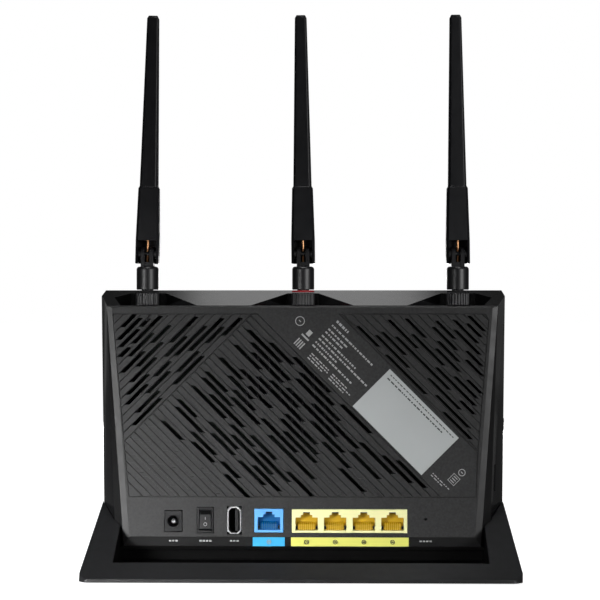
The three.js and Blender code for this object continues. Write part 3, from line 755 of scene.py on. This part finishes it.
def rear_cover():
    cover = copy_of("rear_cover", "rear_cover_shell", whole=False)
    lower, upper, right = field_regions()
    cut_grooves(cover, falling, LOWER_ROW, ROW_PITCH, 0.95,
                ((lower, range(-9, 23)), (right, range(32, 48))))
    cut_grooves(cover, rising, UPPER_ROW, UPPER_PITCH, 1.1, ((upper, range(-50, -33)),))
    cut_outlines(cover, lower, upper, right)

    recesses, slits = bmesh.new(), bmesh.new()
    add_slots(recesses, slits, LOWER_SLOTS, falling, LOWER_ROW, ROW_PITCH, 1.7, -1)
    add_slots(recesses, slits, SHALLOW_SLOTS, falling, LOWER_ROW, ROW_PITCH, 0.5, 0)
    add_slots(recesses, slits, UPPER_SLOTS, rising, UPPER_ROW, UPPER_PITCH, 1.7, -1)
    add_slots(recesses, slits, RIGHT_SLOTS, falling, LOWER_ROW, ROW_PITCH, 1.4, 1, 1.28)
    boolean(cover, recesses)
    boolean(cover, slits)
    drop_slivers(cover)
    place(cover, "shell", "body", "shell", "rear_cover")

    # Painted shade: the lower band, which the stand's lip keeps from the light, and the side rims,
    # which face away from it, get a darker copy of the shell.
    def painted_shade_faces(middle, face):
        below = face.normal.z < -0.1 and middle.y < -2.9 and 13.3 < middle.z < 18.4
        return below or (abs(face.normal.x) > 0.2 and face.area > 40 * MM * MM)

    paint_shade(cover, "shell_painted_shade", painted_shade_faces)


rear_cover()


# ---- case, stand and feet -----------------------------------------------------------------
def softened(node, width, material, slot, body="body", segments=3, length=2.5, chosen=None):
    """A CAD piece with its outer edges rounded as a moulding has them."""
    piece = copy_of(node, f"{node}_moulding")
    round_edges(piece, width, segments, length=length, chosen=chosen)
    return finish(piece, material, body, slot, node, angle=32)


def front_shell():
    """The deep half of the case. Its long outer edges are rounded, its pockets stay crisp."""
    shell = copy_of("front_shell", "front_shell_moulding")
    round_edges(shell, 0.6, 4, 60, 100, lambda a, b: min(a.y, b.y) > 33)
    round_edges(shell, 0.3, 3, 60, 10, lambda a, b: abs(a.x) > 101.5 and a.z > 138 and b.z > 138)
    finish(shell, "gloss_black", "body", "shell", "front_shell")
    # Painted shade: the pockets' back walls get the near-black material, where the antennas and
    # the pockets' walls keep the light out.
    paint_shade(shell, "painted_shade_black", lambda middle, face: face.normal.y < -0.3
           and 138.8 < middle.z < 147 and 18 < middle.y < 29)    # the pockets' back walls


def stand():
    """The wedge. Its rear corners are rounder than its other edges."""
    base = copy_of("stand_base", "stand_base_moulding")
    round_edges(base, 1.7, 5, 40, 1.5, lambda a, b: abs(a.z - b.z) > 1.6 and max(a.y, b.y) < -43)
    round_edges(base, 0.6, 4, 60, 1.5, lambda a, b: max(a.y, b.y) < -42 or min(a.y, b.y) > 47)
    round_edges(base, 0.4, 3, 60, 20, lambda a, b: abs(a.x) < 96 and min(a.z, b.z) > 9)
    finish(base, "stand", "body", "stand", "stand_base", angle=32)
    # Painted shade: the trough under the body gets the near-black material, where the body's
    # overhang keeps the light out.
    paint_shade(base, "painted_shade_black", lambda middle, face: abs(middle.x) < 108
           and -14 < middle.y < 52 and 1.5 < middle.z < 13.2)    # the trough


front_shell()
stand()
softened("stand_bottom_cover", 0.35, "stand", "stand")
for foot in ("rear_left", "rear_right", "front_left", "front_right"):
    softened(f"foot_{foot}", 0.3, "rubber", "rubber")
softened("light_guide", 0.3, "clear_plastic", "clear_plastic")

SAME_SHAPE = {                    # nodes shown as they are, and their materials
    "main_board": "circuit_board", "modem_module": "dark_steel", "radio_shield": "dark_steel",
    "heat_sink": "aluminium", "stand_screw_1": "steel", "stand_screw_2": "steel",
    "reset_switch": "socket_black", "wps_switch": "socket_black", "sim_card_holder": "steel",
    "dc_jack_pin": "steel", "wan_port_strip": "strip_blue", "lan_port_strip": "strip_yellow",
    "reset_button": "socket_black", "wps_button": "shell",
}
for side in ("left", "middle", "right"):
    SAME_SHAPE[f"antenna_{side}_connector"] = "dark_steel"
    SAME_SHAPE[f"antenna_{side}_radiator"] = "copper"
for node, material in SAME_SHAPE.items():
    mesh = frame["nodes"][node].data
    mesh.materials.clear()
    mesh.materials.append(MATERIALS[material])


# ---- sockets on the rear face ---------------------------------------------------------------
def on_rim(node):
    """Accepts the edges that lie on the outline of a node as seen from the rear."""
    low, high = node_box(node)

    def chosen(*ends):
        return all(min(abs(p.x - low.x), abs(p.x - high.x), abs(p.z - low.z), abs(p.z - high.z))
                   < 0.05 for p in ends)
    return chosen


def add_ring(bm, x, z, radius, width, y0, y1):
    """Flat ring that faces the rear, from y0 to y1."""
    add_lathe(bm, [(radius - width, -y1), (radius, -y1), (radius, -y0), (radius - width, -y0)],
              Matrix.Translation((x, 0, z)) @ Matrix.Rotation(math.pi / 2, 4, "X"), 32)


# Right half of the opening for an eight-pin plug, around the socket's middle in X and Z
PLUG_RIGHT = [(5.7, -4.8), (5.7, 1.75), (2.85, 1.75), (2.85, 3.15), (1.65, 3.15), (1.65, 4.5)]
PLUG_LEFT = [(-x, z) for x, z in reversed(PLUG_RIGHT)]
PLUG_OUTLINE = PLUG_LEFT[-1:] + PLUG_RIGHT + PLUG_LEFT[:-1]
RIB_SIDE = [(1.9, -4.8), (5, -4.8), (5, -0.6), (4.1, -0.6), (2.2, -1.9)]    # depth and height
SPRING_PATH = [(4.3, -1.2), (3.4, -2.3), (3.2, -4.2), (4.3, -4.6)]          # depth and height
CONTACTS, CONTACT_PITCH = 8, 1.02
COMB_FACE, COMB_BACK = 4.4, 12   # depth behind the socket's face


def plug_socket(name, x, z, slot, inside, contacts):
    """The comb with its spring contacts and keys, inside an eight-pin socket. The comb is in a
    darker copy of the socket's colour: painted shade.
    """
    bm = bmesh.new()
    add_prism(bm, [(x + dx, z + dz) for dx, dz in PLUG_OUTLINE],
              SOCKET_Y + COMB_FACE, SOCKET_Y + COMB_BACK)
    comb = to_object(bm, f"{name}_comb")
    ribs = bmesh.new()
    for i in range(CONTACTS + 1):
        at = x + (i - 4) * CONTACT_PITCH
        add_skin(ribs, [[(edge, SOCKET_Y + depth, z + height) for depth, height in RIB_SIDE]
                        for edge in (at - 0.37, at + 0.37)])
    boolean(comb, ribs, "UNION")
    finish(comb, inside, "body", slot, angle=5)

    bm = bmesh.new()
    for i in range(CONTACTS):
        at = x + (i - 3.5) * CONTACT_PITCH
        add_skin(bm, [[(at + dx, SOCKET_Y + depth + dy, z + height + dy)
                       for dx, dy in ((-0.13, -0.1), (0.13, -0.1), (0.13, 0.1), (-0.13, 0.1))]
                      for depth, height in SPRING_PATH])
    make(bm, f"{name}_springs", "contact_gold", "body", "contact_gold", contacts)

    bm = bmesh.new()
    for side in (-1, 1):
        add_box(bm, (x + side * 5.2 - 0.45, SOCKET_Y + 1.2, z - 4.2),
                (x + side * 5.2 + 0.45, SOCKET_Y + 4.3, z - 2.9))
    add_box(bm, (x - 1.6, SOCKET_Y + 0.4, z + 4.15), (x + 1.6, SOCKET_Y + 4.3, z + 4.62))
    make(bm, f"{name}_keys", "socket_black", "body", "socket_black")


def usb_socket():
    """The metal shell, and a black liner inside it: painted shade over the shell's inner walls."""
    softened("usb_shell", 0.2, "steel", "steel", segments=3, chosen=on_rim("usb_shell"))
    low, high = node_box("usb_shell")

    def outline(inset, bend=1.6):
        x0, x1, z0, z1 = low.x + inset, high.x - inset, low.z + inset, high.z - inset
        return [(x1, z1 - bend), (x1 - bend, z1), (x0 + bend, z1), (x0, z1 - bend),
                (x0, z0 + bend), (x0 + bend, z0), (x1 - bend, z0), (x1, z0 + bend)]

    bm = bmesh.new()
    add_prism(bm, outline(0.05), low.y - 0.35, low.y + 0.3, outline(0.35))
    flange = to_object(bm, "usb_flange")
    opening = bmesh.new()
    add_prism(opening, outline(0.62), low.y - 1, low.y + 1)
    boolean(flange, opening)
    finish(flange, "bright_steel", "body", "steel", angle=5)

    # Painted shade: a black rubber liner stands where the real shell's inner walls are metal.
    bm = bmesh.new()
    add_prism(bm, outline(0.64), low.y + 0.5, low.y + 10)
    liner = to_object(bm, "usb_painted_shade_liner")
    hollow = bmesh.new()
    add_prism(hollow, outline(0.9), low.y - 1, low.y + 9.5)
    boolean(liner, hollow)
    bore = bmesh.new()
    tongue_low, tongue_high = node_box("usb_tongue")
    add_box(bore, tongue_low - Vector((0.1, 1, 0.1)), tongue_high + Vector((0.1, 1, 0.1)))
    boolean(liner, bore)
    finish(liner, "rubber", "body", "socket_black", angle=5)


def rocker_marks():
    """A bar and a ring in white on the rocker's face, and a black plate on its upper end: painted
    shade where that end tips into the switch.
    """
    low, high = node_box("power_rocker")
    x, z = (low.x + high.x) / 2, (low.z + high.z) / 2
    bm = bmesh.new()
    add_box(bm, (x - 0.16, low.y + 0.25, z + 0.1), (x + 0.16, low.y + 1.2, z + 1.4))
    add_ring(bm, x, z - 2.3, 0.95, 0.3, low.y + 0.1, low.y + 1.0)
    make(bm, "rocker_marks", "print_light", "rocker", "socket_black")

    # Painted shade: a near-black plate on the rocker's upper end.
    bm = bmesh.new()
    add_box(bm, (low.x + 0.25, BACK_Y + 0.1, high.z - 2.3),
            (high.x - 0.25, BACK_Y + 1.2, high.z - 0.2))
    make(bm, "rocker_painted_shade", "painted_shade_black", "rocker", "socket_black")


softened("dc_jack", 0.3, "socket_black", "socket_black", chosen=on_rim("dc_jack"))
softened("wan_jack", 0.25, "wan_blue", "wan_blue", chosen=on_rim("wan_jack"))
softened("lan_jack_block", 0.25, "lan_yellow", "lan_yellow", chosen=on_rim("lan_jack_block"))
softened("power_switch_body", 0.3, "socket_black", "socket_black",
         chosen=on_rim("power_switch_body"))
softened("power_rocker", 0.35, "socket_black", "socket_black", body="rocker")
softened("usb_tongue", 0.2, "socket_black", "socket_black")
softened("rating_label", 0.04, "label", "label", segments=1)
usb_socket()
rocker_marks()
WAN = (-17.2, 26.8)              # middle of the socket in X and Z
LAN = [(2.4 + 14.9 * i, 26.6) for i in range(4)]
plug_socket("wan", *WAN, "wan_blue", "blue_painted_shade", "wan_contacts")
for number, (x, z) in enumerate(LAN, 1):
    plug_socket(f"lan_{number}", x, z, "lan_yellow", "yellow_painted_shade", f"lan_contacts_{number}")


# ---- antennas -----------------------------------------------------------------------------
NUT_BORE = 3.4                   # hole through the nut for the connector
RING_BORE = 3.6
KNURLS, KNURL_STEPS, KNURL_DEPTH = 22, 8, 0.38
COLLAR_TOP, COLLAR_BEND = 159.2, 1.6
TONGUE_RADIUS, TONGUE_FOOT = 3.4, 158.2
TONGUE_INNER, TONGUE_OUTER = 1.3, 3.35       # each half of the split tongue, from the middle
PIN_HALF, PIN_RADIUS = 5.9, 1.2
SHOULDER_INNER, SHOULDER_OUTER, SHOULDER_RADIUS = 3.7, 4.6, 2.6
LEAD_RADIUS, LEAD_FOOT, LEAD_LENGTH = 0.62, -4.6, 20


def upright(x, y):
    return Matrix.Translation((x, y, 0))


def knurled_nut(prefix, side, x, y):
    low, high = node_box(f"{prefix}_nut")
    radius = (high.x - low.x) / 2
    bm = bmesh.new()
    sections = []
    for z, share in ((low.z - 0.24, 0.93), (low.z + 0.1, 1), (high.z - 0.35, 1), (high.z, 0.93)):
        ring = []
        for i in range(KNURLS * KNURL_STEPS):
            angle = 2 * math.pi * i / (KNURLS * KNURL_STEPS)
            ridge = abs(math.sin(angle * KNURLS / 2)) ** 0.6
            r = (radius - KNURL_DEPTH + KNURL_DEPTH * ridge) * share
            ring.append((x + r * math.cos(angle), y + r * math.sin(angle), z))
        sections.append(ring)
    add_skin(bm, sections)
    nut = to_object(bm, f"{prefix}_knurled_nut")
    bore = bmesh.new()
    add_lathe(bore, [(0, low.z - 1), (NUT_BORE, low.z - 1), (NUT_BORE, high.z + 1),
                     (0, high.z + 1)], upright(x, y))
    boolean(nut, bore)
    finish(nut, "collar", f"{side}_nut", "antenna_plastic", f"{prefix}_nut")


def seal_ring(prefix, side, x, y):
    """Round-edged ring between the nut and the collar, red on the middle antenna."""
    low, high = node_box(f"{prefix}_ring")
    outer, tube = (high.x - low.x) / 2, (high.z - low.z) / 2
    profile = [(RING_BORE, low.z), (outer - tube, low.z)]
    for i in range(9):
        angle = math.radians(-90 + 180 * i / 8)
        profile.append((outer - tube + tube * math.cos(angle), (low.z + high.z) / 2
                        + tube * math.sin(angle)))
    profile.append((RING_BORE, high.z))
    bm = bmesh.new()
    add_lathe(bm, profile, upright(x, y))
    look = "red_ring" if side == "middle" else "rubber"
    make(bm, f"{prefix}_seal_ring", look, f"{side}_swivel", look, f"{prefix}_ring", angle=50)


def swivel_collar(prefix, side, x, y, pivot):
    """Turned collar with a rounded top, and a split tongue that holds the hinge pin."""
    low, high = node_box(f"{prefix}_collar")
    radius = (high.x - low.x) / 2
    profile = [(0, low.z), (3.1, low.z), (3.1, low.z + 1.4), (radius - 0.3, low.z + 1.4),
               (radius, low.z + 1.7)]
    for i in range(13):
        angle = math.radians(90 * i / 12)
        profile.append((radius - COLLAR_BEND + COLLAR_BEND * math.cos(angle),
                        COLLAR_TOP - COLLAR_BEND + COLLAR_BEND * math.sin(angle)))
    profile.append((0, COLLAR_TOP))
    bm = bmesh.new()
    add_lathe(bm, profile, upright(x, y))
    collar = to_object(bm, f"{prefix}_swivel_collar")
    tongue = bmesh.new()
    for sign in (-1, 1):
        arc = [(math.cos(math.radians(a)), math.sin(math.radians(a))) for a in range(0, 181, 12)]
        outline = [(-TONGUE_RADIUS, TONGUE_FOOT),
                   *((-TONGUE_RADIUS * c, pivot.z + TONGUE_RADIUS * s) for c, s in arc),
                   (TONGUE_RADIUS, TONGUE_FOOT)]
        add_skin(tongue, [[(x + at, y + dy, z) for dy, z in outline]
                          for at in (TONGUE_INNER * sign, TONGUE_OUTER * sign)])
    add_box(tongue, (x - 2.0, y - 3.1, 158.4), (x + 2.0, y + 3.1, 161.6))
    boolean(collar, tongue, "UNION")
    hole = bmesh.new()
    add_lathe(hole, [(0, -7), (1.5, -7), (1.5, 7), (0, 7)],
              Matrix.Translation(pivot) @ Matrix.Rotation(math.pi / 2, 4, "Y"), 32)
    boolean(collar, hole)
    finish(collar, "collar", f"{side}_swivel", "antenna_plastic", f"{prefix}_collar")


def hinge_pin(prefix, side, lean):
    """Pin with a shoulder against each side of the tongue. Its tips are bevelled."""
    half = [(SHOULDER_INNER, PIN_RADIUS), (SHOULDER_INNER, SHOULDER_RADIUS),
            (SHOULDER_OUTER, SHOULDER_RADIUS), (SHOULDER_OUTER, PIN_RADIUS),
            (PIN_HALF - 0.2, PIN_RADIUS), (PIN_HALF, 1.0), (PIN_HALF, 0)]
    profile = [(r, -at) for at, r in reversed(half)] + [(r, at) for at, r in half]
    bm = bmesh.new()
    add_lathe(bm, profile, lean @ Matrix.Rotation(math.pi / 2, 4, "Y"), 40)
    make(bm, f"{prefix}_pin", "dark_steel", f"{side}_blade", "steel", f"{prefix}_hinge_pin")


def folding_blade(prefix, side, lean):
    blade = copy_of(f"{prefix}_blade", f"{prefix}_blade_moulding")
    upright_blade = lean.inverted()

    def outer(*ends):
        """Leaves out the edges inside the fork."""
        return all(abs(p.x) > 5.6 or p.z > 9 or p.y > 4 for p in
                   (upright_blade @ end for end in ends))

    round_edges(blade, 0.35, 3, 25, 5, outer)
    finish(blade, "antenna_plastic", f"{side}_blade", "antenna_plastic", f"{prefix}_blade",
           angle=32)


def copper_lead(prefix, lean):
    """The lead through the hinge."""
    bm = bmesh.new()
    add_skin(bm, [[lean @ point for point in
                   ring_points(LEAD_RADIUS, LEAD_FOOT + LEAD_LENGTH * i / 24, 16)]
                  for i in range(25)])
    lead = to_object(bm, f"{prefix}_lead")
    smooth(lead, 60)
    lead.data.materials.append(MATERIALS["copper"])
    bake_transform(lead)
    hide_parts(f"{prefix}_coax")


def antenna(side):
    prefix = f"antenna_{side}"
    swivel, pivot = joint_point(f"{side}_swivel_turn"), joint_point(f"{side}_fold")
    axis = Vector(joints[f"{side}_fold"]["axis"])
    lean = Matrix.Translation(pivot) @ Matrix.Rotation(math.atan2(-axis.z, axis.x), 4, "Y")
    knurled_nut(prefix, side, swivel.x, swivel.y)
    seal_ring(prefix, side, swivel.x, swivel.y)
    swivel_collar(prefix, side, swivel.x, swivel.y, pivot)
    hinge_pin(prefix, side, lean)
    folding_blade(prefix, side, lean)
    copper_lead(prefix, lean)


for side in ("left", "middle", "right"):
    antenna(side)


# ---- printed marks --------------------------------------------------------------------------
INK_PROUD, INK_GAP = 0.06, 0.015             # how far a print's face and back are off the surface
BAND_LINES = (                               # across, start, end and height of each printed line
    (105.2, -79.5, -71, 1.3), (102.0, -79.8, -50, 0.9), (99.3, -79.8, -65, 0.9),
    (97.2, -79.8, -67, 0.9), (94.6, -79.8, -55, 0.9), (92.3, -79.8, -43.5, 0.9),
    (89.9, -79.8, -64.5, 0.9), (87.6, -79.8, -51, 0.9), (84.1, -77, -63.5, 0.6),
    (82.7, -77, -63.5, 0.6), (81.2, -77, -66.5, 0.6), (84.1, -61.7, -50.5, 0.6),
    (82.7, -61.7, -47, 0.6), (81.2, -61.7, -50.8, 0.6))
LEGENDS = ((-67, 3), (-50.3, 4), (-35.2, 3), (64.3, 4))    # X of the middle, number of bars
LEGEND_PITCH = 1.7
STRIP_MARK_Z = 15.8


def add_mark(bm, across, along, wide, high, y=BACK_Y):
    """A flat printed bar on the surface at y, its long side along a falling row."""
    corners = [falling(across + b, along + a) for a, b in
               ((-wide / 2, -high / 2), (wide / 2, -high / 2), (wide / 2, high / 2),
                (-wide / 2, high / 2))]
    add_prism(bm, corners, y - INK_PROUD, y - INK_GAP)


def add_dashes(bm, across, start, end, high, y=BACK_Y):
    """A run of bars and gaps that reads as a printed line from a distance."""
    at = start
    while at < end - 0.8:
        wide = min(random.uniform(0.7, 2.4), end - at)
        add_mark(bm, across, at + wide / 2, wide, high, y)
        at += wide + random.uniform(0.45, 0.75)


def band_print():
    """Lines of dashes, and a few plain shapes, on the diagonal band beside the sticker."""
    bm = bmesh.new()
    for across, start, end, high in BAND_LINES:
        add_dashes(bm, across, start, end, high)
    for along in (-87, -85.7, -84.4, -83.1):
        add_mark(bm, 83.2, along, 0.7, 4.2)
    add_mark(bm, 87.6, -85.2, 5.0, 0.9)
    add_mark(bm, 90.6, -85.2, 2.4, 3.0)
    make(bm, "band_print", "print_light", "body", "label")


def label_print():
    face = node_box("rating_label")[0].y
    bm = bmesh.new()
    add_dashes(bm, 105.2, -40, 6, 0.5, face)
    add_dashes(bm, 102.9, -40, 0, 0.7, face)
    make(bm, "label_print", "print_dark", "body", "label")


def outlined(bm, across, along, wide, high, line=0.3):
    """The four sides of an upright rectangle along a row."""
    for side in (-1, 1):
        add_mark(bm, across, along + side * (wide - line) / 2, line, high)
        add_mark(bm, across + side * (high - line) / 2, along, wide - 2 * line, line)


def corner_print():
    """A framed mark, bars and a ring right of the sticker, and a ring at the band's upper end."""
    bm = bmesh.new()
    outlined(bm, 90.0, 21.6, 4.6, 5.0)
    for i in range(3):
        add_mark(bm, 88.7 + 1.3 * i, 21.6, 2.6, 0.5)
    add_dashes(bm, 84.6, 11.5, 24.5, 0.5)
    add_dashes(bm, 83.3, 11.5, 20, 0.5)
    for across, along, radius in ((95.5, 22, 1.9), (91.7, -93.1, 2.5)):
        x, z = falling(across, along)
        add_ring(bm, x, z, radius, 0.4, BACK_Y - INK_PROUD, BACK_Y - INK_GAP)
        add_mark(bm, across, along, 1.4, 0.45)
    make(bm, "corner_print", "print_light", "body", "label")


def legend_print():
    """Short bars on the lower band, and a ring with a bar on the strip under each socket."""
    bm = bmesh.new()
    for x, bars in LEGENDS:
        for i in range(bars):
            at = x + (i - (bars - 1) / 2) * LEGEND_PITCH
            add_box(bm, (at - 0.6, -3.78, 15.8), (at + 0.6, -3.4, 16.6))
    make(bm, "legend_print", "print_light", "body", "label")
    for node, centres, ink in (("wan_port_strip", [WAN[0]], "print_light"),
                               ("lan_port_strip", [x for x, _ in LAN], "print_dark")):
        face = node_box(node)[0].y
        bm = bmesh.new()
        for x in centres:
            add_ring(bm, x, STRIP_MARK_Z, 1.15, 0.26, face - 0.05, face + 0.5)
            add_box(bm, (x - 0.55, face - 0.05, 15.55), (x + 0.55, face + 0.5, 16.05))
        make(bm, f"{node}_print", ink, "body", "label")


band_print()
label_print()
corner_print()
legend_print()
